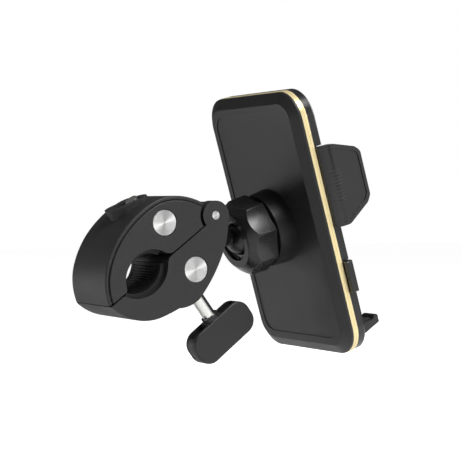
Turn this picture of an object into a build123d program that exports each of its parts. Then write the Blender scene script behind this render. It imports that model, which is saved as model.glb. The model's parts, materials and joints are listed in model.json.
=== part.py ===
from build123d import *
import os
from math import atan2, cos, degrees, pi, radians, sin, sqrt, tan

# Phone mount for a bicycle handlebar: a two-jaw clamp closed by a cross-barrel screw,
# a ball joint with a lock nut, and a phone cradle with two racked arms.
# Frame: origin on the axis of the bar seat in the lower jaw, +X along the bar,
# +Z up, the cradle on the -Y side. All sizes are millimetres.

# ---------------------------------------------------------------- clamp sizes
clamp_width = 34.0
hinge_y = -37.1
hinge_z = 20.1
link = 24.7                 # hinge pin to either barrel, and barrel to barrel when shut
upper_barrel_angle = -7.0   # direction from the hinge pin to the upper barrel
lower_barrel_angle = upper_barrel_angle - 60.0
split_angle = -36.6         # the line where the jaws meet, through the hinge pin
split_gap = 0.7
jaw_opening_angle = 33.0

crest_centre = (-17.9, -4.5)
# upper jaw's back: direction from the crest's centre, and distance from it
crest_points = (
    (-34, 32.8), (-15, 32.8), (0, 32.3), (10, 31.6), (20, 31.0), (30, 30.6), (40, 30.4), (50, 30.5),
    (60, 31.0), (70, 31.8), (80, 32.5), (90, 32.8), (110, 32.8), (140, 32.8),
)
crest_round = 0.8
rim_inset = 1.3             # the side faces stand inside the crest's edge
rim_step = 0.6
rim_round = 0.4
rim_groove = 0.6            # groove between the crest and each side face
rim_groove_depth = 0.6
throat_round = 4.0          # jaw corners where the split meets the seats, by the pin
mouth_round = 1.5           # and at the bar's way in
seat_radius = 14.2          # lower jaw's seat, round the origin
upper_seat_centre = (-7.3, -6.5)
upper_seat_radius = 12.7
pad_thickness = 1.8
pad_width = 27.0
pad_fit = 0.05
pad_rim = 2.2
rib_pitch = 1.15
rib_depth = 0.35
upper_pad_half = 58.0       # half angle each pad covers
lower_pad_half = 54.0

ear_radius = 6.2
ear_thickness = 6.0
ear_side_gap = 0.3
ear_relief = 1.5
knuckle_radius = 5.8
pin_radius = 1.8
pin_fit = 0.06

barrel_radius = 5.7
barrel_fit = 0.08
barrel_recess = 0.25
barrel_rim = 0.35
barrel_flat = 4.6           # flats milled square to the screw

screw_radius = 3.0
screw_fit = 0.06
slot_fit = 0.55
flange_radius = 4.6
flange_thickness = 1.5
washer_radius = 4.9
washer_thickness = 1.0
clip_thickness = 0.8
clip_groove = 0.5
clip_wall = 1.3
tip_reach = 12.4            # screw end beyond the upper barrel's centre
boss_tilt = 68.0            # direction the boss's flat top faces
boss_top = 33.3             # from the crest's centre
boss_width = 12.5
boss_length = 19.0
boss_shift = 2.8            # the boss runs further towards the mouth

# ------------------------------------------------------------- handle sizes
handle_top = 28.1           # lower barrel's centre to the handle's near edge
handle_depth = 15.3
handle_length = 32.4
handle_thickness = 8.2
handle_corner = 6.2
handle_edge = 0.9
handle_collar_radius = 3.9
handle_collar_height = 1.8
pocket_length = 8.6
pocket_width = 5.6
pocket_depth = 8.5
pocket_corner = 1.0
handle_plate = 1.7          # face plates, each marked off by a groove round the edge
handle_groove = 0.5
handle_groove_depth = 0.4
handle_fit = 0.02
shank_depth = 9.0

# ---------------------------------------------------------- ball joint sizes
stud_z = 10.2
stud_seat_y = -44.4
stud_seat_radius = 8.2
stud_flange_radius = 6.4
stud_flange_thickness = 1.8
stud_neck_radius = 3.8
stud_root_radius = 5.0
stud_shank_radius = 2.5
ball_radius = 8.0
ball_y = -60.35
stud_nut_across = 8.0
stud_nut_thickness = 4.0
stud_nut_y = -34.4
nut_pocket_fit = 0.1
nut_bore_fit = 0.03
ball_fit = 0.05
seat_wall = 0.9
cup_polar = 36.0            # the cup behind the ball reaches this far round it
ring_low_polar = 70.0
ring_high_polar = 111.0
lip_polar = 116.0           # collet lip, measured from the cradle's side of the ball
collet_wall = 1.4
collet_taper = 0.9          # the fingers narrow towards the lip
nut_cone_gap = 0.3
collet_slots = 6
collet_slot_width = 1.2
lock_nut_radius = 17.4
lock_nut_lobes = 8
lock_nut_hollow = 0.8       # depth of each concave side under a flat
lock_nut_phase = 129.7
lock_nut_rear = 13.0        # distance behind the trim's rear edge
lock_nut_front = 26.4
lock_nut_shoulder = 22.2
lock_nut_shoulder_radius = 17.0
lock_nut_nose_radius = 12.2
lock_nut_mouth_radius = 9.0
thread_radius = 13.0
thread_fit = 0.1
thread_front = 19.4
socket_base_radius = 17.0
socket_top_radius = 16.4
socket_base_rear = 11.8

# -------------------------------------------------------------- cradle sizes
cradle_tilt = 16.27         # top leaning towards the handlebar
cradle_width = 73.7
cradle_height = 118.0
cradle_corner = 12.5
ball_to_trim = 21.0         # ball's centre to the rear edge of the trim band
rear_depth = 3.6
rear_straight = 0.8
rear_slope = 4.6
panel_inset = 7.8
panel_recess = 0.4
shell_wall = 1.8
rear_wall = 1.5
trim_depth = 2.7
trim_proud = 0.15
trim_inset = 1.7
front_face = 6.9
front_wall = 1.6
front_round = 1.2
case_head_depth = 1.2
front_pad_width = 46.0
front_pad_height = 72.0
front_pad_thickness = 1.2
front_pad_v = 4.0

arm_low = -2.6
arm_high = 33.2
arm_travel = 14.0
arm_plate_front = 4.9
arm_plate_thickness = 2.0
arm_notch_gap = 0.35
notch_depth = 5.0
small_gap = 0.3
arm_inner_x = 37.5
arm_thickness = 4.4
arm_reach = 22.0            # lip tip, forward of the trim's rear edge
arm_panel_depth = 0.45      # outer face sunk inside a raised rim
arm_panel_corner = 2.8
arm_corner = 3.8
arm_ribs = 10
arm_rib_pitch = 1.5
arm_rib_low = 8.3
arm_rib_width = 0.5
arm_rib_height = 0.3
arm_rib_f = (4.2, 9.2)
arm_pad_seat = 0.5
arm_pad_thickness = 1.1
ratchet_pitch = 2.2
arm_plate_inner_x = 22.0
rack_module = 0.8
pinion_teeth = 12
tooth_share = 0.36          # tooth thickness over circular pitch
rack_bar_width = 4.6
rack_end_x = 17.0
pinion_hub_radius = 2.0
pinion_step = 1.5           # shoulder round the spindle that carries the pinion
pinion_bore_fit = 0.06
arm_spring_start = pinion_hub_radius + pinion_step + 0.9
arm_spring_step = 0.55
arm_spring_strip = 0.3
arm_spring_halves = 7
arm_spring_height = 2.4

button_low = -31.6
button_high = -17.6
button_rear = 3.0
button_front = 6.5
button_proud = 2.8
button_gap = 0.3
button_notch = 5.6
button_inner_x = 33.6
button_flange = 1.4         # how far the flange runs past the window at each end
button_flange_x = 30.2
tongue_high = -17.8
tongue_low = -20.6
tongue_tip_x = 16.0
spring_wire = 0.5
spring_radius = 1.45
spring_turns = 5
spring_rest_x = 23.6
spring_end_gap = 0.1
latch_half_width = 3.0
latch_foot = 21.6           # depth of the latch's lower edge below the ball's height
latch_guide_low = -14.0
latch_guide_high = -4.0
pawl_gap = 0.3

foot_x = 26.0
foot_width = 9.0
foot_top = -48.2
foot_bottom = -53.8
foot_reach = 18.8
foot_gap = 0.3
foot_plate_thickness = 1.8
foot_bridge_high = -40.2
foot_bridge_width = 5.0
foot_rib_low = -48.0
foot_rib_high = -41.0
foot_pad_thickness = 0.9

case_screw_radius = 1.0
case_screw_head = 1.9
case_screw_x = 18.0
case_screw_v = (36.6, -28.6)
case_post_radius = 2.8
case_split = 2.6            # depth where the shells' posts meet
small_fit = 0.1
socket_screw_pcd = 23.0
socket_screw_count = 4
socket_screw_radius = 1.3
socket_screw_fit = 0.05
socket_screw_head = 2.3
socket_screw_reach = 3.6
screw_head_height = 1.2


# ------------------------------------------------------------------ helpers
def from_hinge(distance, angle):
    """Point of the clamp's middle plane at a distance and direction from the pin."""
    return (hinge_y + distance * cos(radians(angle)), hinge_z + distance * sin(radians(angle)))


def slab(sketch, width, x=0.0):
    """Extrude a Y-Z sketch along X, half to each side of x."""
    return Pos(x, 0, 0) * extrude(Plane.YZ * sketch, amount=width / 2, both=True)


def across(centre, radius, width, x=0.0):
    """Cylinder along X through a point of the Y-Z plane."""
    return Pos(x, centre[0], centre[1]) * Rot(0, 90, 0) * Cylinder(radius, width)


def half_plane(offset, above):
    """Y-Z region on one side of the split line, moved off it by offset."""
    side = Align.MIN if above else Align.MAX
    block = Rectangle(300, 150, align=(Align.CENTER, side))
    return Pos(hinge_y, hinge_z) * Rot(0, 0, split_angle) * Pos(0, offset) * block


def swing_slot(centre, low, high, half, length):
    """Y-Z region swept by a bar of half-width half that swings from low to high."""
    def corner(angle, along, side):
        a = radians(angle)
        y = centre[0] + along * cos(a) - side * sin(a)
        z = centre[1] + along * sin(a) + side * cos(a)
        return (y, z)
    spread = degrees(atan2(half, length))
    ends = sorted((high + spread, high - spread, low + spread, low - spread), reverse=True)
    reach = sqrt(length**2 + half**2)
    points = [corner(high, 0, half)]
    points += [corner(angle, reach, 0) for angle in ends]
    points.append(corner(low, 0, -half))
    return make_face(Polyline(*points, close=True))


def ring_sector(centre, inner, outer, middle, half_angle):
    """Y-Z ring sector about a centre."""
    ring = Circle(outer) - Circle(inner)
    reach = 2 * outer
    wedge = make_face(Polyline(
        (0, 0),
        (reach * cos(radians(middle - half_angle)), reach * sin(radians(middle - half_angle))),
        (reach * cos(radians(middle)), reach * sin(radians(middle))),
        (reach * cos(radians(middle + half_angle)), reach * sin(radians(middle + half_angle))),
        close=True,
    ))
    return Pos(*centre) * (ring & wedge)


def crest(inset):
    """Y-Z face under the upper jaw's back, moved in by inset, closed at the crest's centre."""
    points = []
    for angle, reach in crest_points:
        a = radians(angle)
        y = crest_centre[0] + (reach - inset) * cos(a)
        z = crest_centre[1] + (reach - inset) * sin(a)
        points.append((y, z))
    return make_face(Spline(*points) + Polyline(points[-1], crest_centre, points[0]))


def round_corners(jaw, centre, radius):
    """Round the edges along the bar where a jaw's seat meets its split face."""
    for near_pin in (True, False):
        found = []
        for edge in jaw.edges().filter_by(Axis.X):
            y = edge.center().Y - centre[0]
            z = edge.center().Z - centre[1]
            if abs(sqrt(y**2 + z**2) - radius) < 0.01 and (y < 0) == near_pin:
                found.append(edge)
        jaw = fillet(found, throat_round if near_pin else mouth_round)
    return jaw


hinge = (hinge_y, hinge_z)
upper_barrel_at = from_hinge(link, upper_barrel_angle)
lower_barrel_at = from_hinge(link, lower_barrel_angle)
screw_angle = (upper_barrel_angle + lower_barrel_angle) / 2 + 90.0
swing = jaw_opening_angle / 2
split_normal = split_angle + 90.0
ear_inner = clamp_width / 2 - ear_thickness

screw_plane = Plane(
    origin=(0, lower_barrel_at[0], lower_barrel_at[1]),
    x_dir=(1, 0, 0),
    z_dir=(0, cos(radians(screw_angle)), sin(radians(screw_angle))),
)
back_normal = Vector(0, cos(radians(cradle_tilt)), -sin(radians(cradle_tilt)))
ball_centre = Vector(0, ball_y, stud_z)
cradle_centre = ball_centre - back_normal * ball_to_trim
# Cradle's own frame: x along the bar, v up its length, f out of its front.
cradle_plane = Plane(origin=cradle_centre, x_dir=(1, 0, 0), z_dir=-back_normal)
nodes = {}


def in_cradle(shape):
    return cradle_plane.location * shape


def on_screw(shape):
    return screw_plane.location * shape


# -------------------------------------------------------------------- clamp
def make_upper_jaw():
    jaw = slab(crest(0) & half_plane(0, True), clamp_width - 2 * rim_step)
    rims = [e for e in jaw.edges() if abs(e.center().X) > clamp_width / 2 - rim_step - 0.01]
    jaw = fillet([e for e in rims if e.geom_type != GeomType.LINE], crest_round)
    jaw -= slab(crest(rim_inset) & half_plane(-1, True), 2 * clamp_width) - slab(
        crest(rim_inset) & half_plane(-1, True), clamp_width - 2 * (rim_step + rim_groove_depth)
    )
    plate = slab(crest(rim_inset + rim_groove) & half_plane(0, True), clamp_width)
    rims = [e for e in plate.edges() if abs(e.center().X) > clamp_width / 2 - 0.01]
    jaw += fillet([e for e in rims if e.geom_type != GeomType.LINE], rim_round)
    # raised pill round the slot that shows the screw's end
    pill = on_screw(
        Pos(0, boss_shift, link) * extrude(Rot(0, 0, 90) * SlotOverall(boss_length, boss_width), 25)
    )
    under = Rectangle(80, 80, align=(Align.CENTER, Align.MAX))
    jaw += pill & slab(
        Pos(*crest_centre) * Rot(0, 0, boss_tilt - 90) * Pos(0, boss_top) * under, clamp_width
    )
    jaw -= across(upper_seat_centre, upper_seat_radius, 2 * clamp_width)
    jaw = round_corners(jaw, upper_seat_centre, upper_seat_radius)
    for side in (-1, 1):
        x = side * (ear_inner + ear_thickness / 2 - ear_side_gap / 2 + 0.5)
        jaw -= across(hinge, ear_radius + ear_relief, ear_thickness + ear_side_gap + 1.0, x)
    jaw += across(hinge, knuckle_radius, 2 * (ear_inner - ear_side_gap))
    jaw -= across(hinge, pin_radius + pin_fit, 2 * clamp_width)
    jaw -= across(upper_barrel_at, barrel_radius + barrel_fit, 2 * clamp_width)
    half = screw_radius + slot_fit
    for turned in (0, 180):
        low = screw_angle - swing + turned
        jaw -= slab(swing_slot(upper_barrel_at, low, screw_angle + turned, half, 40), 2 * half)
    return jaw


def make_lower_jaw():
    outline = make_face(
        Polyline((-38.6, 22.0), (40.0, 30.0), (12.3, -16.9))
        + ThreePointArc((12.3, -16.9), (1.5, -22.7), (-10.2, -22.5))
        + ThreePointArc((-10.2, -22.5), (-15.0, -20.7), (-19.4, -18.7))
        + ThreePointArc((-19.4, -18.7), (-24.5, -17.8), (-29.2, -15.0))
        + ThreePointArc((-29.2, -15.0), (-37.2, -3.1), (-42.2, 9.5))
        + Polyline((-42.2, 9.5), (hinge_y - ear_radius, hinge_z - 2.0), (-38.6, 22.0))
    )
    outline = outline & half_plane(-split_gap, False)
    jaw = slab(outline, clamp_width) + across(hinge, ear_radius, clamp_width)
    # seat for the ball stud
    jaw += bar_along_y(stud_seat_radius, stud_seat_y, stud_seat_y + stud_seat_radius)
    # clevis between the ears
    jaw -= across(hinge, ear_radius + 0.3, 2 * ear_inner)
    jaw -= across((0, 0), seat_radius, 2 * clamp_width)
    jaw = round_corners(jaw, (0, 0), seat_radius)
    jaw -= across(hinge, pin_radius + pin_fit, 2 * clamp_width)
    jaw -= across(lower_barrel_at, barrel_radius + barrel_fit, 2 * clamp_width)
    half = screw_radius + slot_fit
    for turned in (0, 180):
        low = screw_angle + turned
        jaw -= slab(swing_slot(lower_barrel_at, low, low + swing, half, 40), 2 * half)
    flange_half = washer_radius + slot_fit
    flange_room = barrel_flat + washer_thickness + flange_thickness + slot_fit
    low = screw_angle + 180
    jaw -= slab(swing_slot(lower_barrel_at, low, low + swing, flange_half, flange_room), 2 * flange_half)
    clip_half = screw_radius + clip_wall + slot_fit
    clip_room = barrel_flat + clip_thickness + slot_fit
    low = screw_angle
    jaw -= slab(swing_slot(lower_barrel_at, low, low + swing, clip_half, clip_room), 2 * clip_half)
    # ball stud's shank and the nut pocket, open to the split
    shank_end = stud_nut_y + stud_nut_thickness + 1.0
    jaw -= bar_along_y(stud_shank_radius + nut_pocket_fit, stud_seat_y - 1, shank_end)
    pocket_y = stud_nut_thickness + 2 * nut_pocket_fit
    pocket_x = stud_nut_across + 2 * nut_pocket_fit
    pocket_low = stud_z - stud_nut_across / sqrt(3) - nut_pocket_fit
    jaw -= Pos(0, stud_nut_y - nut_pocket_fit, pocket_low) * Box(
        pocket_x, pocket_y, 12, align=(Align.CENTER, Align.MIN, Align.MIN)
    )
    return jaw


def bar_along_y(radius, y0, y1, top_radius=None):
    """Round bar, or cone, along Y at the stud's height from y0 to y1."""
    end = radius if top_radius is None else top_radius
    turned = Pos(0, y0, stud_z) * Rot(-90, 0, 0)
    if end == radius:
        return turned * Cylinder(radius, y1 - y0, align=(Align.CENTER, Align.CENTER, Align.MIN))
    return turned * Cone(radius, end, y1 - y0, align=(Align.CENTER, Align.CENTER, Align.MIN))


def make_pad(centre, inner, middle, half_angle):
    """Rubber lining with grooves along the bar between two smooth rims."""
    outer = inner + pad_thickness - pad_fit
    pad = slab(ring_sector(centre, inner, outer, middle, half_angle), pad_width)
    step = rib_pitch / inner * 180 / pi
    count = int((half_angle - 2.0) / step)
    grooves = []
    for k in range(-count, count + 1):
        a = radians(middle + k * step)
        at = (centre[0] + inner * cos(a), centre[1] + inner * sin(a))
        grooves.append(across(at, rib_depth, pad_width - 2 * pad_rim))
    return pad - grooves


def make_barrel(bored, flats):
    """Cross barrel: a cylinder along the bar with a hole square through its middle."""
    length = clamp_width - 2 * barrel_recess
    barrel = Rot(0, 90, 0) * Cylinder(barrel_radius, length)
    rims = barrel.edges().filter_by(GeomType.CIRCLE)
    barrel = chamfer(rims, barrel_rim)
    barrel -= Cylinder(bored, 4 * barrel_radius)
    if flats:
        room = 2 * (washer_radius + 0.3)
        for side in (-1, 1):
            cut = Box(room, 4 * barrel_radius, barrel_radius)
            barrel -= Pos(0, 0, side * (barrel_flat + barrel_radius / 2)) * cut
    return barrel


nodes["upper_jaw"] = make_upper_jaw()
nodes["lower_jaw"] = make_lower_jaw()
nodes["upper_jaw_pad"] = make_pad(
    upper_seat_centre, upper_seat_radius - pad_thickness, split_normal, upper_pad_half
)
nodes["lower_jaw_pad"] = make_pad(
    (0, 0), seat_radius - pad_thickness, split_normal + 180, lower_pad_half
)
nodes["hinge_pin"] = across(hinge, pin_radius, clamp_width - 2 * barrel_recess)
nodes["lower_barrel"] = on_screw(make_barrel(screw_radius + screw_fit, True))
nodes["upper_barrel"] = on_screw(Pos(0, 0, link) * make_barrel(screw_radius + screw_fit, False))


# ----------------------------------------------------------- screw and handle
def stack(radius, low, high):
    """Cylinder along the screw between two distances from the lower barrel."""
    return Pos(0, 0, low) * Cylinder(radius, high - low, align=(Align.CENTER, Align.CENTER, Align.MIN))


flange_face = -barrel_flat - washer_thickness
shank_end = -handle_top - shank_depth
screw_tip = link + tip_reach
screw = stack(screw_radius, shank_end, screw_tip)
screw = chamfer(screw.edges().sort_by(Axis.Z)[-1], 0.6)
screw += stack(flange_radius, flange_face - flange_thickness, flange_face)
groove_floor = screw_radius - clip_groove
screw -= stack(screw_radius + 1, barrel_flat, barrel_flat + clip_thickness) - stack(
    groove_floor, barrel_flat - 1, barrel_flat + clip_thickness + 1
)
nodes["clamp_screw"] = on_screw(screw)
nodes["thrust_washer"] = on_screw(
    stack(washer_radius, flange_face, -barrel_flat) - stack(screw_radius + screw_fit, -20, 20)
)
clip = stack(screw_radius + clip_wall, barrel_flat, barrel_flat + clip_thickness)
clip -= stack(groove_floor, barrel_flat - 1, barrel_flat + 2)
clip -= Pos(0, screw_radius, barrel_flat) * Box(2 * groove_floor - 1.2, 2 * screw_radius, 4)
nodes["retaining_clip"] = on_screw(clip)


def make_handle():
    middle = -handle_top - handle_depth / 2
    face = Plane.YZ * RectangleRounded(handle_length, handle_depth, handle_corner)
    grip = Pos(0, 0, middle) * extrude(face, amount=handle_thickness / 2, both=True)
    edges = [e for e in grip.edges() if abs(abs(e.center().X) - handle_thickness / 2) < 0.01]
    grip = fillet(edges, handle_edge)
    pocket_y = handle_collar_radius + 0.4 + pocket_length / 2
    core = Plane.YZ * RectangleRounded(
        handle_length - 2 * handle_groove_depth,
        handle_depth - 2 * handle_groove_depth,
        handle_corner - handle_groove_depth,
    )
    seam_x = handle_thickness / 2 - handle_plate
    for side in (-1, 1):
        pocket = Box(pocket_width, pocket_length, 2 * pocket_depth)
        pocket = fillet(pocket.edges().filter_by(Axis.Z), pocket_corner)
        grip -= Pos(0, side * pocket_y, -handle_top) * pocket
        seam = extrude(face - core, amount=handle_groove / 2, both=True)
        grip -= Pos(side * seam_x, 0, middle) * seam
    grip += stack(handle_collar_radius, -handle_top - 3, -handle_top + handle_collar_height)
    return grip - stack(screw_radius + handle_fit, shank_end - 1, 0)


nodes["t_handle"] = on_screw(make_handle())

# ----------------------------------------------------------------- ball stud
flange_y = stud_seat_y - stud_flange_thickness
neck_end = ball_y + sqrt(ball_radius**2 - stud_neck_radius**2) - 0.3
neck_start = neck_end + 1.5
stud = Pos(0, ball_y, stud_z) * Sphere(ball_radius)
stud += bar_along_y(stud_neck_radius, neck_end, neck_start)
stud += bar_along_y(stud_neck_radius, neck_start, flange_y, stud_root_radius)
stud += bar_along_y(stud_flange_radius, flange_y, stud_seat_y)
stud += bar_along_y(stud_shank_radius, stud_seat_y, stud_nut_y + stud_nut_thickness + 0.6)
nodes["ball_stud"] = stud

stud_nut = extrude(RegularPolygon(stud_nut_across / 2, 6, major_radius=False), stud_nut_thickness)
stud_nut -= Cylinder(stud_shank_radius + nut_bore_fit, 20)
nodes["stud_nut"] = Pos(0, stud_nut_y, stud_z) * Rot(-90, 0, 0) * Rot(0, 0, 30) * stud_nut


# ------------------------------------------------- socket, in the cradle frame
ball_f = -ball_to_trim
panel_f = -rear_depth + panel_recess
cavity_radius = ball_radius + ball_fit + seat_wall + ball_fit
collet_radius = cavity_radius + collet_wall


def turned(points):
    """Solid of revolution about the cradle's f axis from (radius, f) points."""
    return revolve(Plane.XZ * make_face(Polyline(*points, close=True)), Axis.Z)


def polar_point(radius, polar):
    """(radius, f) of a point about the ball, polar measured from the cradle side."""
    a = radians(polar)
    return (radius * sin(a), ball_f + radius * cos(a))


def zone(inner, outer, low, high):
    """Spherical shell about the ball between two polar angles."""
    middle = (low + high) / 2
    arc_out = ThreePointArc(polar_point(outer, low), polar_point(outer, middle), polar_point(outer, high))
    arc_in = ThreePointArc(polar_point(inner, high), polar_point(inner, middle), polar_point(inner, low))
    ends = [
        Line(polar_point(outer, high), polar_point(inner, high)),
        Line(polar_point(inner, low), polar_point(outer, low)),
    ]
    return revolve(Plane.XZ * make_face(arc_out + ends[0] + arc_in + ends[1]), Axis.Z)


lip_f = polar_point(cavity_radius, lip_polar)[1]
thread_top = -thread_front
socket = turned([
    (0, panel_f),
    (socket_base_radius, panel_f),
    (socket_base_radius, panel_f - 1.5),
    (socket_top_radius, -socket_base_rear),
    (thread_radius, -socket_base_rear),
    (thread_radius, thread_top),
    (collet_radius, thread_top),
    (collet_radius - collet_taper, lip_f),
    (0, lip_f),
])
socket -= Pos(0, 0, ball_f) * Sphere(cavity_radius)
socket -= Pos(0, 0, lip_f) * Cylinder(cavity_radius * sin(radians(lip_polar)), 4)
for k in range(collet_slots):
    angle = (k + 0.5) * 360 / collet_slots
    slot = Box(thread_radius - 3.0, collet_slot_width, 2 * (thread_top - lip_f))
    slot = Pos(thread_radius - 1.0, 0, lip_f) * slot
    socket -= Rot(0, 0, angle) * slot
for k in range(socket_screw_count):
    angle = 45 + k * 360 / socket_screw_count
    hole = Pos(socket_screw_pcd / 2, 0, panel_f) * Cylinder(socket_screw_radius + socket_screw_fit, 8)
    socket -= Rot(0, 0, angle) * hole
nodes["ball_socket"] = in_cradle(socket)
seat_inner = ball_radius + ball_fit
seat_outer = seat_inner + seat_wall
cup = Pos(0, 0, ball_f) * (Sphere(seat_outer) - Sphere(seat_inner))
cup_low = seat_outer * cos(radians(cup_polar))
cup = cup & (Pos(0, 0, ball_f + cup_low) * Cylinder(20, 20, align=(Align.CENTER, Align.CENTER, Align.MIN)))
nodes["ball_cup"] = in_cradle(cup)
nodes["ball_ring"] = in_cradle(zone(seat_inner, seat_outer, ring_low_polar, ring_high_polar))


def make_lock_nut():
    flat = lock_nut_radius * cos(pi / lock_nut_lobes)
    half_side = lock_nut_radius * sin(pi / lock_nut_lobes)
    hollow_radius = (half_side**2 + lock_nut_hollow**2) / (2 * lock_nut_hollow)
    shape = Circle(lock_nut_radius)
    for k in range(lock_nut_lobes):
        angle = lock_nut_phase + (k + 0.5) * 360 / lock_nut_lobes
        reach = flat - lock_nut_hollow + hollow_radius
        shape -= Rot(0, 0, angle) * Pos(reach, 0) * Circle(hollow_radius)
    nut = Pos(0, 0, -lock_nut_front) * extrude(shape, lock_nut_front - lock_nut_rear)
    envelope = turned([
        (0, -lock_nut_front),
        (lock_nut_nose_radius, -lock_nut_front),
        (lock_nut_nose_radius + 0.8, -lock_nut_front + 0.5),
        (lock_nut_shoulder_radius, -lock_nut_shoulder),
        (lock_nut_radius, -lock_nut_rear - 0.8),
        (lock_nut_radius - 0.6, -lock_nut_rear),
        (0, -lock_nut_rear),
    ])
    nut = nut & envelope
    mouth = collet_radius - collet_taper + nut_cone_gap
    bore = turned([
        (0, -lock_nut_rear + 1),
        (thread_radius + thread_fit, -lock_nut_rear + 1),
        (thread_radius + thread_fit, thread_top - 0.6),
        (collet_radius + nut_cone_gap, thread_top - 0.6),
        (mouth, lip_f - nut_cone_gap),
        (lock_nut_mouth_radius, lip_f - nut_cone_gap),
        (lock_nut_mouth_radius + 0.3, -lock_nut_front - 0.1),
        (0, -lock_nut_front - 0.1),
    ])
    return nut - bore


nodes["lock_nut"] = in_cradle(make_lock_nut())


# ------------------------------------------------------------- cradle shells
def rounded(width, height, corner, f0, f1):
    """Rounded block of the cradle between two depths."""
    return Pos(0, 0, f0) * extrude(RectangleRounded(width, height, corner), f1 - f0)


def body(inset, f0, f1):
    """The cradle's outline moved in by inset, between two depths."""
    return rounded(cradle_width - 2 * inset, cradle_height - 2 * inset, cradle_corner - inset, f0, f1)


case_screw_places = [(side * case_screw_x, v) for side in (-1, 1) for v in case_screw_v]
socket_screw_places = [
    (
        socket_screw_pcd / 2 * cos(radians(45 + k * 360 / socket_screw_count)),
        socket_screw_pcd / 2 * sin(radians(45 + k * 360 / socket_screw_count)),
    )
    for k in range(socket_screw_count)
]


def post(radius, f0, f1):
    """Round post along f between two depths."""
    return Pos(0, 0, f0) * Cylinder(radius, f1 - f0, align=(Align.CENTER, Align.CENTER, Align.MIN))


def block(x0, x1, v0, v1, f0, f1):
    """Box of the cradle between three pairs of limits."""
    return Pos(x0, v0, f0) * Box(x1 - x0, v1 - v0, f1 - f0, align=(Align.MIN, Align.MIN, Align.MIN))


def make_rear_shell():
    slope = rear_slope
    wide = RectangleRounded(cradle_width, cradle_height, cradle_corner)
    narrow = RectangleRounded(cradle_width - 2 * slope, cradle_height - 2 * slope, cradle_corner - slope)
    back = loft([Pos(0, 0, -rear_straight) * wide, Pos(0, 0, -rear_depth) * narrow])
    shell = body(0, -rear_straight, 0) + back
    edges = [e for e in shell.edges() if abs(e.center().Z + rear_depth) < 0.01]
    shell = fillet(edges, 1.0)
    panel_width = cradle_width - 2 * panel_inset
    panel_height = cradle_height - 2 * panel_inset
    shell -= rounded(panel_width, panel_height, cradle_corner - panel_inset + 2.0, -rear_depth - 1, panel_f)
    shell -= body(rear_slope + 0.9, floor_f, 0.1)
    for x, v in case_screw_places:
        shell += Pos(x, v) * post(case_post_radius, floor_f, case_split)
        shell -= Pos(x, v) * post(case_screw_radius + small_fit, case_screw_end, 10)
    for x, v in socket_screw_places:
        shell -= Pos(x, v) * post(socket_screw_radius + small_fit, -rear_depth - 1, floor_f + 1)
    # spindle and step for the pinion
    shell += Pos(0, pinion_v) * post(pinion_hub_radius, floor_f, arm_plate_front)
    shell += Pos(0, pinion_v) * post(pinion_hub_radius + pinion_step, floor_f, plate_rear - small_gap)
    # ribs: latch guides, rests for the release springs and runners under the plates
    guide_x = latch_half_width + small_gap
    runner_x = cradle_width / 2 - rear_slope - 4.0
    runner_f = plate_rear - small_gap
    ribs = [
        (guide_x, guide_x + 1.2, latch_guide_low, latch_guide_high, floor_f, plate_rear + 1.6),
        (spring_rest_x - 1.4, spring_rest_x, button_mid - 3, button_mid + 3, floor_f, plate_rear + 2.0),
        (runner_x, runner_x + 1.6, arm_low, arm_high, floor_f, runner_f),
        (foot_x - 0.8, foot_x + 0.8, foot_rib_low, foot_rib_high, floor_f, runner_f),
    ]
    for side in (-1, 1):
        for rib in ribs:
            shell += mirrored(block(*rib), side)
    return shell


floor_f = -rear_depth + panel_recess + rear_wall
case_screw_end = floor_f + 0.4
button_mid = (button_low + button_high) / 2
plate_rear = arm_plate_front - arm_plate_thickness
pinion_v = (arm_low + arm_high) / 2
pitch_radius = rack_module * pinion_teeth / 2
circular_pitch = pi * rack_module
notch_low = arm_low - arm_notch_gap
notch_high = arm_high + arm_notch_gap


def mirrored(shape, side):
    """The shape itself for side 1, its mirror image in x for side -1."""
    return shape if side > 0 else shape.mirror(Plane.YZ)


def make_front_shell():
    shell = body(0, trim_depth, front_face)
    edges = [e for e in shell.edges() if abs(e.center().Z - front_face) < 0.01]
    shell = fillet(edges, front_round)
    inner_face = front_face - front_wall
    shell -= body(shell_wall, trim_depth - 0.1, inner_face)
    half = cradle_width / 2
    for x, v in case_screw_places:
        shell += Pos(x, v) * post(case_post_radius, case_split, inner_face + 0.1)
        shell -= Pos(x, v) * post(case_screw_radius + small_fit, 0, 20)
        shell -= Pos(x, v) * post(case_screw_head + small_fit, front_face - case_head_depth, 20)
    for side in (-1, 1):
        notch = block(half - notch_depth, half + 5, notch_low, notch_high, plate_rear - small_gap, 20)
        shell -= mirrored(notch, side)
        window = block(
            half - button_notch, half + 5, button_low - button_gap, button_high + button_gap,
            button_rear - button_gap, 20,
        )
        shell -= mirrored(window, side)
        slot_x = foot_width / 2 + foot_gap
        slot_top = foot_top + foot_gap
        slot = block(foot_x - slot_x, foot_x + slot_x, -cradle_height, slot_top, trim_depth - 1, 20)
        shell -= mirrored(slot, side)
    return shell


def make_trim():
    return body(-trim_proud, 0, trim_depth) - body(trim_inset, -1, trim_depth + 1)


nodes["rear_shell"] = in_cradle(make_rear_shell())
nodes["front_shell"] = in_cradle(make_front_shell())
nodes["trim_band"] = in_cradle(make_trim())
nodes["front_pad"] = in_cradle(
    Pos(0, front_pad_v, 0)
    * rounded(front_pad_width, front_pad_height, 5.0, front_face, front_face + front_pad_thickness)
)


# ------------------------------------------------------------- arms and racks
def tooth_row(start, count, base, tip, flank):
    """Rack teeth along x, starting at start, standing from base to tip in v."""
    row = []
    grow = 1 if tip > base else -1
    depth = abs(tip - base)
    half = tooth_share * circular_pitch / 2
    spread = flank * (depth / 2)
    for k in range(count):
        x = start + k * circular_pitch
        row.append(make_face(Polyline(
            (x - half - spread, base - grow * 0.2),
            (x + half + spread, base - grow * 0.2),
            (x + half - spread, tip),
            (x - half + spread, tip),
            close=True,
        )))
    return row


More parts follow.
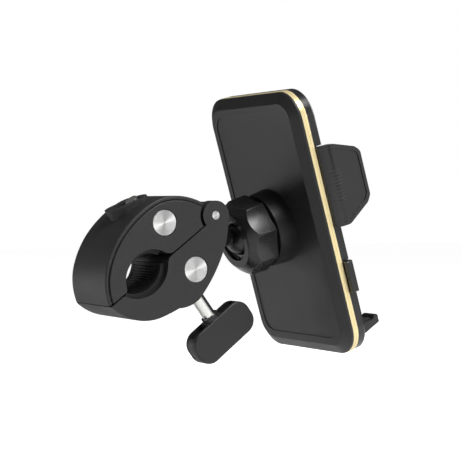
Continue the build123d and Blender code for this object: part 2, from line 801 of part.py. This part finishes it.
def make_lip():
    """The part of an arm that stands forward beside the phone."""
    root = cradle_width / 2
    outer = arm_inner_x + arm_thickness
    near = arm_inner_x - 1.4
    face = arm_inner_x + arm_pad_seat
    hook = arm_inner_x - 0.9
    profile = make_face(
        Polyline((near, plate_rear), (root + 0.6, plate_rear))
        + ThreePointArc((root + 0.6, plate_rear), (outer - 1.2, plate_rear + 1.9), (outer, plate_rear + 6.0))
        + Polyline((outer, plate_rear + 6.0), (outer - 0.5, arm_reach), (hook, arm_reach))
        + Polyline(
            (hook, arm_reach),
            (hook, arm_reach - 2.6),
            (face, arm_reach - 4.4),
            (face, arm_plate_front + 3.0),
            (near, arm_plate_front),
            (near, plate_rear),
        )
    )

    def skin(shift):
        """The lip's bar, moved along x to bring its outer face in."""
        return Pos(shift, arm_low, 0) * extrude(Plane.XZ * profile, amount=-(arm_high - arm_low))

    def seen_from_side(points, corner):
        """Bar along x from a (v, f) outline with rounded corners."""
        outline = make_face(Polyline(*points, close=True))
        outline = fillet(outline.vertices(), corner)
        return Pos(near - 1, 0, 0) * extrude(Plane.YZ * outline, amount=16)

    lip = skin(0) & seen_from_side([
        (arm_low, -4.0),
        (arm_high, -4.0),
        (arm_high, 8.5),
        (arm_high - 4.0, arm_reach - 2.5),
        (arm_high - 6.5, arm_reach + 0.1),
        (arm_low + 10.0, arm_reach + 0.1),
        (arm_low + 7.0, arm_reach - 2.0),
        (arm_low + 0.6, 8.5),
    ], arm_corner)
    panel = seen_from_side([
        (arm_low + 1.3, -4.0),
        (arm_high - 1.5, -4.0),
        (arm_high - 1.5, 8.2),
        (arm_high - 5.4, arm_reach - 3.3),
        (arm_high - 7.4, arm_reach - 1.5),
        (arm_low + 10.8, arm_reach - 1.5),
        (arm_low + 8.4, arm_reach - 3.1),
        (arm_low + 2.0, 8.2),
    ], arm_panel_corner)
    lip -= panel - skin(-arm_panel_depth)
    raised = skin(arm_rib_height - arm_panel_depth)
    for k in range(arm_ribs):
        v = arm_rib_low + k * arm_rib_pitch
        lip += raised & block(arm_inner_x + 2.0, outer + 1.0, v, v + arm_rib_width, *arm_rib_f)
    return lip


bar_near = pitch_radius + rack_module * 1.1
bar_far = bar_near + rack_bar_width
rack_tip = pitch_radius - rack_module * 0.9


def make_rack():
    """Inner plate of the +x arm, with a toothed bar that passes above the pinion."""
    plate = block(arm_plate_inner_x, arm_inner_x - 1.0, arm_low, arm_high, plate_rear, arm_plate_front)
    near = pinion_v + bar_near
    far = pinion_v + bar_far
    bar = block(-rack_end_x, arm_plate_inner_x + 1, near, far, plate_rear, arm_plate_front)
    rack = plate + bar
    count = int((arm_travel + 4) / circular_pitch) + 2
    teeth = tooth_row(
        -(count - 2) * circular_pitch, count, near, pinion_v + rack_tip, tan(radians(20))
    )
    for tooth in teeth:
        rack += Pos(0, 0, plate_rear) * extrude(tooth, arm_plate_thickness)
    # ratchet notches in the bar's far edge
    notches = int((2 * rack_end_x - 6) / ratchet_pitch)
    for k in range(notches):
        x = -rack_end_x + 3 + k * ratchet_pitch
        notch = make_face(Polyline((x, far + 0.1), (x + 1.5, far + 0.1), (x, far - 0.8), close=True))
        rack -= Pos(0, 0, plate_rear - 1) * extrude(notch, arm_plate_thickness + 2)
    return rack


def make_arm(side):
    """One arm: its lip, and its rack turned half round the pinion for the other side."""
    lip = mirrored(make_lip(), side)
    rack = make_rack()
    if side < 0:
        rack = Pos(0, 2 * pinion_v, 0) * Rot(0, 0, 180) * rack
    return rack + lip


def make_arm_pad(side):
    """Rubber strip on the inside of a lip."""
    face = arm_inner_x + arm_pad_seat
    strip = block(
        face - arm_pad_thickness, face, arm_low + 5.0, arm_high - 5.0, arm_plate_front + 3.6, arm_reach - 5.0
    )
    return mirrored(strip, side)


def make_pinion():
    half = tooth_share * circular_pitch / 2
    root_r = pitch_radius - rack_module
    tip_r = pitch_radius + rack_module * 0.85
    gear = Circle(root_r)
    for k in range(pinion_teeth):
        angle = (k + 0.5) * 360 / pinion_teeth + 90
        gear += Rot(0, 0, angle) * make_face(Polyline(
            (root_r - 0.6, -half * 1.5), (pitch_radius, -half), (tip_r, -half * 0.45),
            (tip_r, half * 0.45), (pitch_radius, half), (root_r - 0.6, half * 1.5), close=True,
        ))
    gear = Pos(0, pinion_v, plate_rear) * extrude(gear, arm_plate_thickness)
    return gear - Pos(0, pinion_v, 0) * Cylinder(pinion_hub_radius + pinion_bore_fit, 40)


nodes["arm_left"] = in_cradle(make_arm(1))
nodes["arm_right"] = in_cradle(make_arm(-1))
nodes["arm_pad_left"] = in_cradle(make_arm_pad(1))
nodes["arm_pad_right"] = in_cradle(make_arm_pad(-1))
nodes["arm_pinion"] = in_cradle(make_pinion())


def make_arm_spring():
    """Flat spiral spring under the pinion, of half turns about two centres."""
    radius = arm_spring_start
    left = 0.0
    path = []
    for k in range(arm_spring_halves):
        sign = 1 if k % 2 == 0 else -1
        centre = left + sign * radius
        start = (centre - sign * radius, 0)
        end = (centre + sign * radius, 0)
        path.append(ThreePointArc(start, (centre, sign * radius), end))
        left = end[0]
        radius += arm_spring_step
    strip = trace(path, arm_spring_strip)
    shift = arm_spring_step / 2 - arm_spring_start
    return Pos(shift, pinion_v, floor_f + 0.2) * extrude(strip, arm_spring_height)


nodes["arm_spring"] = in_cradle(make_arm_spring())


# ------------------------------------------------------- release latch, buttons
def make_button(side):
    """Side button: cap, inner flange and a tongue with a slanted end."""
    half = cradle_width / 2
    cap = block(button_inner_x, half + button_proud, button_low, button_high, button_rear, button_front)
    cap_edges = [e for e in cap.edges() if e.center().X > half + button_proud - 0.01]
    cap = fillet(cap_edges, 0.9)
    thickness = arm_plate_front - button_rear
    flange = block(
        button_flange_x, button_inner_x + 0.1, button_low - button_flange, button_high + button_flange,
        button_rear, arm_plate_front,
    )
    slope = tongue_high - tongue_low
    tongue = make_face(Polyline(
        (button_flange_x + 0.1, tongue_high),
        (tongue_tip_x, tongue_high),
        (tongue_tip_x + slope, tongue_low),
        (button_flange_x + 0.1, tongue_low),
        close=True,
    ))
    button = cap + flange + Pos(0, 0, button_rear) * extrude(tongue, thickness)
    return mirrored(button, side)


def make_button_spring(side):
    """Coil spring along x between its rest and the button's flange."""
    length = button_flange_x - spring_rest_x - 2 * spring_end_gap - spring_wire
    coil = Helix(pitch=length / spring_turns, height=length, radius=spring_radius)
    section = Plane(coil @ 0, z_dir=coil % 0) * Circle(spring_wire / 2)
    wound = sweep(section, path=coil, is_frenet=True)
    x = spring_rest_x + spring_end_gap + spring_wire / 2
    return mirrored(Pos(x, button_mid, spring_f) * Rot(0, 90, 0) * wound, side)


spring_f = (floor_f + front_face - front_wall) / 2 + 1.0


def make_latch():
    """Plate that both tongues push down, away from the arms' racks."""
    gap = small_gap / sqrt(2)
    slope = tongue_high - tongue_low
    top = pinion_v - bar_far - pawl_gap
    shape = make_face(Polyline(
        (-latch_half_width, top - 1.6),
        (-latch_half_width + 1.6, top),
        (latch_half_width - 1.6, top),
        (latch_half_width, top - 1.6),
        (latch_half_width, tongue_high - gap),
        (tongue_tip_x - gap, tongue_high - gap),
        (tongue_tip_x + slope - gap, tongue_low - gap),
        (tongue_tip_x + slope - gap, -latch_foot),
        (-tongue_tip_x - slope + gap, -latch_foot),
        (-tongue_tip_x - slope + gap, tongue_low - gap),
        (-tongue_tip_x + gap, tongue_high - gap),
        (-latch_half_width, tongue_high - gap),
        close=True,
    ))
    return Pos(0, 0, plate_rear) * extrude(shape, arm_plate_thickness)


nodes["release_button_left"] = in_cradle(make_button(1))
nodes["release_button_right"] = in_cradle(make_button(-1))
nodes["button_spring_left"] = in_cradle(make_button_spring(1))
nodes["button_spring_right"] = in_cradle(make_button_spring(-1))
nodes["release_latch"] = in_cradle(make_latch())


# --------------------------------------------------------------------- foot
def make_foot():
    """Bracket with two hooks that hold the phone's lower edge."""
    leg_rear = trim_depth + foot_gap
    hook_view = make_face(Polyline(
        (foot_top, leg_rear),
        (foot_top, foot_reach - 3.2),
        (foot_top + 1.6, foot_reach - 2.0),
        (foot_top + 1.6, foot_reach - 0.6),
        (foot_top + 1.0, foot_reach),
        (foot_bottom + 3.4, foot_reach),
        (foot_bottom, front_face + 1.0),
        (foot_bottom, leg_rear),
        close=True,
    ))
    outline = body(small_fit, leg_rear, front_face - 0.2)
    foot = block(
        -foot_x, foot_x, foot_bridge_high - foot_bridge_width, foot_bridge_high,
        leg_rear, leg_rear + foot_plate_thickness,
    )
    for side in (-1, 1):
        low = foot_x - foot_width / 2
        high = foot_x + foot_width / 2
        leg = block(low, high, -cradle_height, foot_top, leg_rear, front_face - 0.2) & outline
        tie = block(low, high, foot_top - 1, foot_bridge_high, leg_rear, leg_rear + foot_plate_thickness)
        hook = Pos(low, 0, 0) * extrude(Plane.YZ * hook_view, amount=foot_width)
        foot += mirrored(leg + tie + hook, side)
    return foot


def make_foot_pads():
    """Rubber patches on the hooks' upper faces."""
    inset = 1.0
    patch = block(
        foot_x - foot_width / 2 + inset, foot_x + foot_width / 2 - inset,
        foot_top, foot_top + foot_pad_thickness, front_face + 1.0, foot_reach - 4.2,
    )
    return patch + mirrored(patch, -1)


nodes["foot_bracket"] = in_cradle(make_foot())
nodes["foot_pads"] = in_cradle(make_foot_pads())


# ------------------------------------------------------------------- screws
def group(solids):
    """Separate solids kept as one node."""
    return Compound(children=solids)


def case_screw(x, v):
    head = post(case_screw_head, front_face - case_head_depth, front_face - small_fit)
    shank = post(case_screw_radius, case_screw_end + small_fit, front_face - case_head_depth)
    drive = Pos(0, 0, front_face) * Box(2.2, 0.5, 1.2) + Pos(0, 0, front_face) * Box(0.5, 2.2, 1.2)
    return Pos(x, v) * (head + shank - drive)


def socket_screw(x, v):
    top = floor_f + screw_head_height
    head = post(socket_screw_head, floor_f, top)
    shank = post(socket_screw_radius, panel_f - socket_screw_reach, floor_f)
    drive = Pos(0, 0, top) * Box(2.6, 0.6, 1.0)
    return Pos(x, v) * (head + shank - drive)


nodes["case_screws"] = in_cradle(group([case_screw(x, v) for x, v in case_screw_places]))
nodes["socket_screws"] = in_cradle(group([socket_screw(x, v) for x, v in socket_screw_places]))

os.makedirs("parts", exist_ok=True)
for name, shape in nodes.items():
    shape.label = name
    export_step(shape, f"parts/{name}.step")
    print(name, round(shape.volume, 1), len(shape.solids()))
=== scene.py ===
import json
import math

import bmesh
import bpy
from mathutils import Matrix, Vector


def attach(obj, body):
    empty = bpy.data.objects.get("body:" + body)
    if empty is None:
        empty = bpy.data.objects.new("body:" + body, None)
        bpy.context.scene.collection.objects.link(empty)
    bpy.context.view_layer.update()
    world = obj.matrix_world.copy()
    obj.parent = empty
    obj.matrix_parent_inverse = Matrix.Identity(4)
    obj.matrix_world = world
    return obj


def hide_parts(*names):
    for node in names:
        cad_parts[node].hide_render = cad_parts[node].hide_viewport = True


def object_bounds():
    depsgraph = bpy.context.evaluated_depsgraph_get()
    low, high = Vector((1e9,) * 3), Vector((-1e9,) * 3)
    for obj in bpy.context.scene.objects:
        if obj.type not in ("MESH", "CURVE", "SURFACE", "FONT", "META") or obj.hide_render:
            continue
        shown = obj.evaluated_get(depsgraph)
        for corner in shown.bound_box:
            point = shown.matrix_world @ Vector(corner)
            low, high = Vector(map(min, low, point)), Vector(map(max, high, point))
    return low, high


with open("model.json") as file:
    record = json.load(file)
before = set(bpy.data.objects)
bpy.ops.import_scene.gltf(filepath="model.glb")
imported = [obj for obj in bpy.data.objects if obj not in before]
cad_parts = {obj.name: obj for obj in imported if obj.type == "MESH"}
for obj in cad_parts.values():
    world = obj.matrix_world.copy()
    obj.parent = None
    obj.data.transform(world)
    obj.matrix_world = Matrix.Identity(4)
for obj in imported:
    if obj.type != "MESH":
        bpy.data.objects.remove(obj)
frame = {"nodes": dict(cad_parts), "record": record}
cadLow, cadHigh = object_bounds()
nodes = frame["nodes"]
record = frame["record"]
nodeBody = {node: body for body, members in record["behaviour"]["bodies"].items() for node in members}
nodeSlot = {entry["node"]: entry["material_slot"] for entry in record["subparts"]}
print("frame loaded:", len(nodes), "nodes")

# ---------- stage, lights and camera
cameraSetup = {
    "eye": (-0.54117, 0.26614, 0.02463),
    "towards": (0.8606, -0.5090, -0.0178),
    "lens": 112.1,
    "sensor": 36.0,
    "nearest": 0.01,
}
floorSetup = {"size": 6.0, "drop": 0.05, "colour": (0.88, 0.88, 0.88, 1.0), "roughness": 0.7, "glow": 1.0}
lightSetup = {
    # name: place, aim, width, height, watts
    "key": ((-0.56, -0.14, 0.74), (0.0, -0.05, 0.0), 0.40, 0.40, 7.5),
    "side": ((0.50, 0.62, -0.12), (0.0, -0.08, 0.01), 0.22, 0.22, 3.4),
    "rim": ((-0.15, -0.70, 0.45), (0.0, -0.08, 0.02), 0.25, 0.50, 5.0),
    "fill": ((-0.80, -0.55, 0.02), (0.0, -0.06, 0.01), 0.70, 0.70, 1.0),
}
worldSetup = {"colour": (1.0, 1.0, 1.0, 1.0), "seen": 1.0, "light": 0.11}


def linked(name, data):
    item = bpy.data.objects.new(name, data)
    bpy.context.scene.collection.objects.link(item)
    return item


def addNode(tree, kind, links=(), **settings):
    node = tree.nodes.new(kind)
    for key, value in settings.items():
        setattr(node, key, value)
    for socket, source in links:
        if isinstance(source, bpy.types.NodeSocket):
            tree.links.new(source, node.inputs[socket])
        else:
            node.inputs[socket].default_value = source
    return node


def facing(item, place, aim):
    item.location = place
    item.rotation_euler = (Vector(aim) - Vector(place)).to_track_quat("-Z", "Y").to_euler()


def makeCamera():
    camera = linked("camera", bpy.data.cameras.new("camera"))
    camera.data.lens = cameraSetup["lens"]
    camera.data.sensor_width = cameraSetup["sensor"]
    camera.data.clip_start = cameraSetup["nearest"]
    facing(camera, cameraSetup["eye"], Vector(cameraSetup["eye"]) + Vector(cameraSetup["towards"]))
    bpy.context.scene.camera = camera


def makeFloor():
    mesh = bpy.data.meshes.new("floor")
    bm = bmesh.new()
    bmesh.ops.create_grid(bm, x_segments=1, y_segments=1, size=floorSetup["size"] / 2)
    bmesh.ops.translate(bm, verts=bm.verts, vec=(0, 0, cadLow[2] - floorSetup["drop"]))
    bm.to_mesh(mesh)
    bm.free()
    material = bpy.data.materials.new("floorPaper")
    material.use_nodes = True
    tree = material.node_tree
    shader = tree.nodes["Principled BSDF"]
    shader.inputs["Base Color"].default_value = floorSetup["colour"]
    shader.inputs["Roughness"].default_value = floorSetup["roughness"]
    shader.inputs["Emission Color"].default_value = floorSetup["colour"]
    # the paper glows for the camera only, so it stays as pale as the backdrop
    ray = addNode(tree, "ShaderNodeLightPath")
    amount = [(0, ray.outputs["Is Camera Ray"]), (1, floorSetup["glow"])]
    glow = addNode(tree, "ShaderNodeMath", amount, operation="MULTIPLY")
    tree.links.new(glow.outputs[0], shader.inputs["Emission Strength"])
    mesh.materials.append(material)
    linked("floor", mesh)


def makeLights():
    for name, (place, aim, width, height, watts) in lightSetup.items():
        lamp = bpy.data.lights.new(name, "AREA")
        lamp.shape = "RECTANGLE"
        lamp.size = width
        lamp.size_y = height
        lamp.energy = watts
        facing(linked(name, lamp), place, aim)


def makeWorld():
    world = bpy.context.scene.world or bpy.data.worlds.new("studio")
    bpy.context.scene.world = world
    world.use_nodes = True
    tree = world.node_tree
    background = tree.nodes.get("Background") or tree.nodes.new("ShaderNodeBackground")
    background.inputs["Color"].default_value = worldSetup["colour"]
    ray = addNode(tree, "ShaderNodeLightPath")
    level = addNode(tree, "ShaderNodeMapRange", [("Value", ray.outputs["Is Camera Ray"])])
    level.inputs["To Min"].default_value = worldSetup["light"]
    level.inputs["To Max"].default_value = worldSetup["seen"]
    tree.links.new(level.outputs[0], background.inputs["Strength"])
    bpy.context.scene.view_settings.view_transform = "Standard"
    bpy.context.scene.view_settings.look = "None"


makeCamera()
makeFloor()
makeLights()
makeWorld()
print("stage, lights and camera ready")


# ---------- shader groups shared by the finishes
grainSetup = {"detail": 4.0, "roughness": 0.65, "cloudScale": 60.0, "cloudDetail": 3.0}
# edgeSetup shapes the painted edge highlight: how far in from the edges and how strongly it lightens
edgeSetup = {"radius": 0.0004, "gain": 9.0, "breakupScale": 400.0, "breakupDetail": 3.0, "samples": 4}
ringSetup = {"scale": 5000.0, "detail": 3.0, "height": 0.0000025}


def newGroup(name, inputs, outputs):
    group = bpy.data.node_groups.new(name, "ShaderNodeTree")
    for label, kind, value in inputs:
        socket = group.interface.new_socket(name=label, in_out="INPUT", socket_type=kind)
        socket.default_value = value
    for label in outputs:
        group.interface.new_socket(name=label, in_out="OUTPUT", socket_type="NodeSocketFloat")
    place = addNode(group, "ShaderNodeTexCoord").outputs["Object"]
    return group, group.nodes.new("NodeGroupInput"), group.nodes.new("NodeGroupOutput"), place


def makeGrainGroup():
    inputs = [("Scale", "NodeSocketFloat", 1.0)]
    inputs.append(("Mottle Scale", "NodeSocketFloat", grainSetup["cloudScale"]))
    group, inside, outside, place = newGroup("mouldedGrain", inputs, ["Height", "Mottle"])
    scale = inside.outputs["Scale"]
    noise = [("Vector", place), ("Scale", scale)]
    noise += [("Detail", grainSetup["detail"]), ("Roughness", grainSetup["roughness"])]
    fine = addNode(group, "ShaderNodeTexNoise", noise)
    cells = addNode(group, "ShaderNodeTexVoronoi", [("Vector", place), ("Scale", scale)])
    heights = [(0, fine.outputs["Fac"]), (1, cells.outputs["Distance"])]
    both = addNode(group, "ShaderNodeMath", heights, operation="ADD")
    slow = [("Vector", place), ("Scale", inside.outputs["Mottle Scale"])]
    slow.append(("Detail", grainSetup["cloudDetail"]))
    cloud = addNode(group, "ShaderNodeTexNoise", slow)
    group.links.new(both.outputs[0], outside.inputs["Height"])
    group.links.new(cloud.outputs["Fac"], outside.inputs["Mottle"])
    return group


# painted highlight: a mask that lightens the edges toward each finish's edge colour, broken up by noise
def makeEdgeGroup():
    inputs = [("Radius", "NodeSocketFloat", edgeSetup["radius"])]
    inputs.append(("Breakup Scale", "NodeSocketFloat", edgeSetup["breakupScale"]))
    group, inside, outside, place = newGroup("paintedEdgeHighlight", inputs, ["Mask"])
    rounding = [("Radius", inside.outputs["Radius"])]
    soft = addNode(group, "ShaderNodeBevel", rounding, samples=edgeSetup["samples"])
    flat = addNode(group, "ShaderNodeNewGeometry")
    pair = [(0, soft.outputs["Normal"]), (1, flat.outputs["Normal"])]
    match = addNode(group, "ShaderNodeVectorMath", pair, operation="DOT_PRODUCT")
    away = addNode(group, "ShaderNodeMath", [(0, 1.0), (1, match.outputs["Value"])], operation="SUBTRACT")
    raised = [(0, away.outputs[0]), (1, edgeSetup["gain"])]
    grown = addNode(group, "ShaderNodeMath", raised, operation="MULTIPLY")
    patchy = [("Vector", place), ("Scale", inside.outputs["Breakup Scale"])]
    patchy.append(("Detail", edgeSetup["breakupDetail"]))
    patch = addNode(group, "ShaderNodeTexNoise", patchy)
    product = [(0, grown.outputs[0]), (1, patch.outputs["Fac"])]
    broken = addNode(group, "ShaderNodeMath", product, operation="MULTIPLY", use_clamp=True)
    group.links.new(broken.outputs[0], outside.inputs["Mask"])
    return group


def makeRingGroup():
    # turning marks round an axis along X
    inputs = [("Axis Point", "NodeSocketVector", (0.0, 0.0, 0.0))]
    inputs.append(("Scale", "NodeSocketFloat", ringSetup["scale"]))
    group, inside, outside, place = newGroup("spunRings", inputs, ["Height"])
    offset = [(0, place), (1, inside.outputs["Axis Point"])]
    arm = addNode(group, "ShaderNodeVectorMath", offset, operation="SUBTRACT")
    crossed = [(0, arm.outputs["Vector"]), (1, (1.0, 0.0, 0.0))]
    turned = addNode(group, "ShaderNodeVectorMath", crossed, operation="CROSS_PRODUCT")
    radius = addNode(group, "ShaderNodeVectorMath", [(0, turned.outputs["Vector"])], operation="LENGTH")
    scaled = [(0, radius.outputs["Value"]), (1, inside.outputs["Scale"])]
    run = addNode(group, "ShaderNodeMath", scaled, operation="MULTIPLY")
    marks = [("W", run.outputs[0]), ("Scale", 1.0), ("Detail", ringSetup["detail"])]
    lines = addNode(group, "ShaderNodeTexNoise", marks, noise_dimensions="1D")
    group.links.new(lines.outputs["Fac"], outside.inputs["Height"])
    return group


def makeLineGroup():
    # one thin line square to a direction, at a distance along it, used as a painted groove shade
    inputs = [
        ("Across", "NodeSocketVector", (1.0, 0.0, 0.0)),
        ("Place", "NodeSocketFloat", 0.0),
        ("Width", "NodeSocketFloat", 0.0002),
    ]
    group, inside, outside, place = newGroup("paintedGrooveShade", inputs, ["Mask"])
    pair = [(0, place), (1, inside.outputs["Across"])]
    along = addNode(group, "ShaderNodeVectorMath", pair, operation="DOT_PRODUCT")
    limits = [(0, along.outputs["Value"]), (1, inside.outputs["Place"]), (2, inside.outputs["Width"])]
    near = addNode(group, "ShaderNodeMath", limits, operation="COMPARE")
    group.links.new(near.outputs[0], outside.inputs["Mask"])
    return group


grainGroup = makeGrainGroup()
edgeGroup = makeEdgeGroup()
ringGroup = makeRingGroup()
lineGroup = makeLineGroup()

# ---------- finishes
finishSetup = {
    # base colours and painted edge highlight colours, roughness range, grain per metre, grain height in
    # metres
    "clampPlastic": {
        "base": (0.0195, 0.0195, 0.0200), "edge": (0.055, 0.055, 0.056),
        "rough": (0.44, 0.56), "grain": 2400.0, "height": 0.00005,
    },
    "rearPlastic": {
        "base": (0.0155, 0.0155, 0.0160), "edge": (0.045, 0.045, 0.045),
        "rough": (0.36, 0.44), "grain": 3000.0, "height": 0.000025,
    },
    "padRubber": {
        "base": (0.010, 0.010, 0.010), "edge": (0.025, 0.025, 0.025),
        "rough": (0.55, 0.70), "grain": 1800.0, "height": 0.00004,
    },
    "handlePlastic": {
        "base": (0.0150, 0.0150, 0.0155), "edge": (0.05, 0.05, 0.05),
        "rough": (0.36, 0.46), "grain": 2400.0, "height": 0.00002,
    },
    "ballBlack": {
        "base": (0.006, 0.006, 0.006), "edge": (0.015, 0.015, 0.015),
        "rough": (0.26, 0.32), "grain": 900.0, "height": 0.000002, "coat": 0.15,
    },
    "nutBlack": {
        "base": (0.012, 0.012, 0.012), "edge": (0.05, 0.05, 0.05),
        "rough": (0.24, 0.31), "grain": 1400.0, "height": 0.000006, "coat": 0.2,
    },
    "socketBlack": {
        "base": (0.012, 0.012, 0.012), "edge": (0.03, 0.03, 0.03),
        "rough": (0.34, 0.42), "grain": 1400.0, "height": 0.00001,
    },
    "frontBlack": {
        "base": (0.011, 0.011, 0.0115), "edge": (0.035, 0.035, 0.035),
        "rough": (0.24, 0.31), "grain": 1400.0, "height": 0.000005, "coat": 0.2,
    },
    "armBlack": {
        "base": (0.010, 0.010, 0.0105), "edge": (0.05, 0.05, 0.05),
        "rough": (0.20, 0.27), "grain": 1400.0, "height": 0.000004, "coat": 0.35,
    },
    "naturalPlastic": {
        "base": (0.70, 0.69, 0.65), "edge": (0.80, 0.79, 0.76),
        "rough": (0.38, 0.48), "grain": 1500.0, "height": 0.00001,
    },
    "trimGold": {
        "base": (0.95, 0.79, 0.42), "edge": (1.0, 0.93, 0.72),
        "rough": (0.26, 0.34), "grain": 1800.0, "height": 0.000004, "metal": 0.4,
        # line: a painted groove shade, a thin darker line across the gold band
        "line": {"Across": (0.0, -0.95995, 0.28016), "Place": 0.08314, "Width": 0.00008},
    },
    "steel": {
        "base": (0.62, 0.62, 0.61), "edge": (0.80, 0.80, 0.79),
        "rough": (0.24, 0.32), "grain": 1500.0, "height": 0.000006, "metal": 1.0,
    },
    "rodSteel": {
        "base": (0.82, 0.82, 0.79), "edge": (0.90, 0.90, 0.88),
        "rough": (0.14, 0.20), "grain": 1500.0, "height": 0.000001, "metal": 1.0,
    },
}
# the edge colour here is a painted highlight on the spun discs' edges
spunSetup = {
    "base": (0.72, 0.72, 0.715), "edge": (0.90, 0.90, 0.89),
    "rough": (0.34, 0.40), "grain": 1500.0, "height": 0.000001, "metal": 1.0, "spin": 0.85,
}
spunCentres = {
    "upper_barrel": (0.0, -0.012584, 0.017090),
    "lower_barrel": (0.0, -0.027449, -0.002636),
    "hinge_pin": (0.0, -0.0371, 0.0201),
}
mottleSetup = {"dark": 0.90, "light": 1.10, "low": 0.3, "high": 0.7}
grooveShadeShare = 0.62  # painted shade: the groove line's share of the gold's base colour
coatRoughness = 0.08


def times(colour, share):
    return [part * share for part in colour] + [1.0]


def baseColour(tree, base, edge, mottle, paintedHighlightMask, line):
    colours = [("Fac", mottle), ("Color1", times(base, mottleSetup["dark"]))]
    colours.append(("Color2", times(base, mottleSetup["light"])))
    shade = addNode(tree, "ShaderNodeMixRGB", colours)
    # painted highlight: the edges are mixed toward the lighter edge colour
    edgeHighlightMix = [("Fac", paintedHighlightMask), ("Color1", shade.outputs[0]), ("Color2", times(edge, 1.0))]
    colour = addNode(tree, "ShaderNodeMixRGB", edgeHighlightMix).outputs[0]
    # painted shade: a thin groove line darkened to a share of the base colour
    if line:
        lineNode = addNode(tree, "ShaderNodeGroup", line.items(), node_tree=lineGroup)
        dark = [("Fac", lineNode.outputs["Mask"]), ("Color1", colour)]
        dark.append(("Color2", times(base, grooveShadeShare)))
        colour = addNode(tree, "ShaderNodeMixRGB", dark).outputs[0]
    return colour


def makeFinish(
    name, base, edge, rough, grain, height, coat=0.0, metal=0.0, spin=0.0, centre=None, line=None
):
    material = bpy.data.materials.new(name)
    material.use_nodes = True
    tree = material.node_tree
    shader = tree.nodes["Principled BSDF"]
    grainNode = addNode(tree, "ShaderNodeGroup", node_tree=grainGroup)
    grainNode.inputs["Scale"].default_value = grain
    mottle = grainNode.outputs["Mottle"]
    paintedHighlightMask = addNode(tree, "ShaderNodeGroup", node_tree=edgeGroup).outputs["Mask"]
    tree.links.new(baseColour(tree, base, edge, mottle, paintedHighlightMask, line), shader.inputs["Base Color"])
    steps = [("Value", mottle), ("From Min", mottleSetup["low"]), ("From Max", mottleSetup["high"])]
    steps += [("To Min", rough[0]), ("To Max", rough[1])]
    spread = addNode(tree, "ShaderNodeMapRange", steps)
    tree.links.new(spread.outputs[0], shader.inputs["Roughness"])
    bumps = [("Height", grainNode.outputs["Height"]), ("Strength", 1.0), ("Distance", height)]
    bump = addNode(tree, "ShaderNodeBump", bumps)
    if centre:
        ringNode = addNode(tree, "ShaderNodeGroup", [("Axis Point", centre)], node_tree=ringGroup)
        rings = [("Height", ringNode.outputs["Height"]), ("Strength", 1.0)]
        rings += [("Distance", ringSetup["height"]), ("Normal", bump.outputs["Normal"])]
        bump = addNode(tree, "ShaderNodeBump", rings)
    tree.links.new(bump.outputs["Normal"], shader.inputs["Normal"])
    shader.inputs["Metallic"].default_value = metal
    shader.inputs["Coat Weight"].default_value = coat
    shader.inputs["Coat Roughness"].default_value = coatRoughness
    if spin:
        shader.inputs["Anisotropic"].default_value = spin
        tangent = addNode(tree, "ShaderNodeTangent", direction_type="RADIAL", axis="X")
        tree.links.new(tangent.outputs["Tangent"], shader.inputs["Tangent"])
    return material


finishes = {name: makeFinish(name, **setup) for name, setup in finishSetup.items()}
for name, centre in spunCentres.items():
    finishes[name] = makeFinish(name + "Spun", centre=centre, **spunSetup)
slotFinish = {
    "clamp_plastic": "clampPlastic", "pad_rubber": "padRubber", "steel": "steel", "bright_steel": "steel",
    "handle_plastic": "handlePlastic", "ball_black": "ballBlack", "nut_plastic": "nutBlack",
    "socket_plastic": "socketBlack", "liner_plastic": "naturalPlastic", "rear_plastic": "rearPlastic",
    "front_plastic": "frontBlack", "trim_gold": "trimGold", "gear_plastic": "naturalPlastic",
}
nodeFinish = {
    "lower_barrel": "lower_barrel", "upper_barrel": "upper_barrel", "hinge_pin": "hinge_pin",
    "clamp_screw": "rodSteel", "arm_left": "armBlack", "arm_right": "armBlack",
}
for name, item in nodes.items():
    finish = finishes[nodeFinish.get(name, slotFinish[nodeSlot[name]])]
    item.data.materials.clear()
    item.data.materials.append(finish)
print("finishes on every node")


# ---------- softened copies of the moulded pieces
softSetup = {
    # node: bevel width, segments, sharpest angle left alone
    "upper_jaw": (0.00035, 3, 30), "lower_jaw": (0.00035, 3, 30), "t_handle": (0.0003, 2, 30),
    "lock_nut": (0.0006, 3, 27), "ball_socket": (0.0003, 2, 30), "rear_shell": (0.0003, 2, 25),
    "front_shell": (0.0003, 2, 30), "trim_band": (0.0003, 2, 30), "front_pad": (0.0003, 2, 30),
    "arm_left": (0.0003, 3, 28), "arm_right": (0.0003, 3, 28), "foot_bracket": (0.0004, 2, 28),
    "release_button_left": (0.0002, 2, 30), "release_button_right": (0.0002, 2, 30),
}
mergeDistance = 1e-6
flatAngle = math.radians(0.6)
sharpShare = 1.2  # edges past this share of the bevel's own limit stay sharp


def sharpEdges(bm, limit):
    return [edge for edge in bm.edges if len(edge.link_faces) == 2 and edge.calc_face_angle(0) > limit]


def soften(name, width, segments, angle):
    mesh = nodes[name].data.copy()
    mesh.name = name + "Soft"
    bm = bmesh.new()
    bm.from_mesh(mesh)
    bmesh.ops.remove_doubles(bm, verts=bm.verts, dist=mergeDistance)
    bmesh.ops.dissolve_limit(bm, angle_limit=flatAngle, verts=bm.verts, edges=bm.edges)
    limit = math.radians(angle)
    bmesh.ops.bevel(
        bm, geom=sharpEdges(bm, limit), offset=width, offset_type="OFFSET", affect="EDGES",
        segments=segments, profile=0.5, material=-1, clamp_overlap=True,
    )
    for face in bm.faces:
        face.smooth = True
    stillSharp = set(sharpEdges(bm, limit * sharpShare))
    for edge in bm.edges:
        edge.smooth = edge not in stillSharp
    bm.to_mesh(mesh)
    bm.free()
    piece = linked(name + "_soft", mesh)
    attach(piece, nodeBody[name])
    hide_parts(name)
    flatter = piece.modifiers.new("flat faces", "WEIGHTED_NORMAL")
    flatter.keep_sharp = True
    return piece


for name, (width, segments, angle) in softSetup.items():
    piece = soften(name, width, segments, angle)
    print("softened", name, len(piece.data.polygons), "faces")
